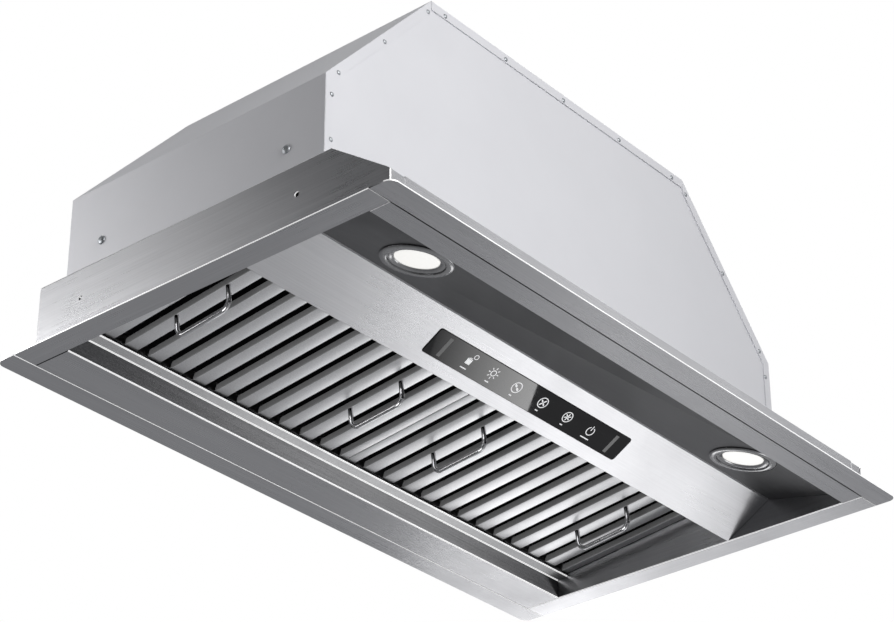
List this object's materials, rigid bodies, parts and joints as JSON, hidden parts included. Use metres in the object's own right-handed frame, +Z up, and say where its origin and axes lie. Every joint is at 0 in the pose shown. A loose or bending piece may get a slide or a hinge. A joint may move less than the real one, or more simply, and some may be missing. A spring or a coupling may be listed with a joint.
{
  "type": "range hood insert",
  "caption": "Built-in range hood insert: wide steel flange, sloping-shouldered housing, angled touch fascia, round lamps and baffle filters with wire handles.",
  "frame": {"origin": "centre of the underside of the flange", "axes": "+Z up, +X to the right and -Y towards the person who stands at the hood"},
  "size_m": [0.762, 0.471, 0.379],
  "materials": {
    "brushed_steel": "brushed along the hood width",
    "shaded_steel": "brushed, darker lamp panel",
    "painted_housing": "pale satin coated sheet",
    "galvanised_steel": "dull zinc-coated sheet",
    "bright_wire": "polished steel",
    "touch_glass": "black glossy glass",
    "lamp_lens": "frosted diffuser",
    "black_plastic": "moulded",
    "grey_plastic": "moulded"
  },
  "bodies": {
    "hood": {"flange_front": "brushed_steel", "skirt_rear": "brushed_steel", "skirt_left": "brushed_steel", "skirt_right": "brushed_steel", "control_fascia": "brushed_steel", "rear_gutter": "brushed_steel", "lamp_panel": "shaded_steel", "housing_left": "painted_housing", "housing_right": "painted_housing", "housing_top": "painted_housing", "housing_front": "painted_housing", "housing_back": "painted_housing", "front_shelf": "galvanised_steel", "filter_rail": "galvanised_steel", "lamp_left_body": "galvanised_steel", "lamp_right_body": "galvanised_steel", "wall_screw_left_front": "galvanised_steel", "wall_screw_left_rear": "galvanised_steel", "wall_screw_right_front": "galvanised_steel", "wall_screw_right_rear": "galvanised_steel", "blower_scroll": "galvanised_steel", "blower_inlet_left": "galvanised_steel", "blower_inlet_right": "galvanised_steel", "motor_plate": "galvanised_steel", "blower_strap_left": "galvanised_steel", "blower_strap_right": "galvanised_steel", "electrical_box": "galvanised_steel", "electrical_cover": "galvanised_steel", "duct_collar": "galvanised_steel", "lamp_left_bezel": "bright_wire", "lamp_right_bezel": "bright_wire", "damper_pin": "bright_wire", "touch_glass": "touch_glass", "lamp_left_lens": "lamp_lens", "lamp_right_lens": "lamp_lens", "touch_board_box": "black_plastic", "motor": "black_plastic", "cable_gland": "black_plastic", "capacitor": "grey_plastic", "power_board": "grey_plastic"},
    "filter_left": {"filter_left_tray": "brushed_steel", "filter_left_baffle": "brushed_steel", "filter_left_handle_1": "bright_wire", "filter_left_handle_2": "bright_wire"},
    "filter_right": {"filter_right_tray": "brushed_steel", "filter_right_baffle": "brushed_steel", "filter_right_handle_1": "bright_wire", "filter_right_handle_2": "bright_wire"},
    "blower_rotor": {"motor_shaft": "bright_wire", "impeller_left": "black_plastic", "impeller_right": "black_plastic"},
    "damper_front": {"damper_flap_front": "galvanised_steel"},
    "damper_rear": {"damper_flap_rear": "galvanised_steel"}
  },
  "joints": [
    {"name": "filter_left_lift", "type": "slide", "parent": "hood", "child": "filter_left", "axis": [0, 0, 1], "range_m": [0, 0.016]},
    {"name": "filter_right_lift", "type": "slide", "parent": "hood", "child": "filter_right", "axis": [0, 0, 1], "range_m": [0, 0.016]},
    {"name": "blower_spin", "type": "hinge", "parent": "hood", "child": "blower_rotor", "pos_m": [0, 0, 0.205], "axis": [1, 0, 0], "continuous": true},
    {"name": "damper_front_swing", "type": "hinge", "parent": "hood", "child": "damper_front", "pos_m": [0, 0.036, 0.346], "axis": [-1, 0, 0], "range_deg": [0, 75]},
    {"name": "damper_rear_swing", "type": "hinge", "parent": "hood", "child": "damper_rear", "pos_m": [0, 0.036, 0.346], "axis": [1, 0, 0], "range_deg": [0, 75]}
  ]
}
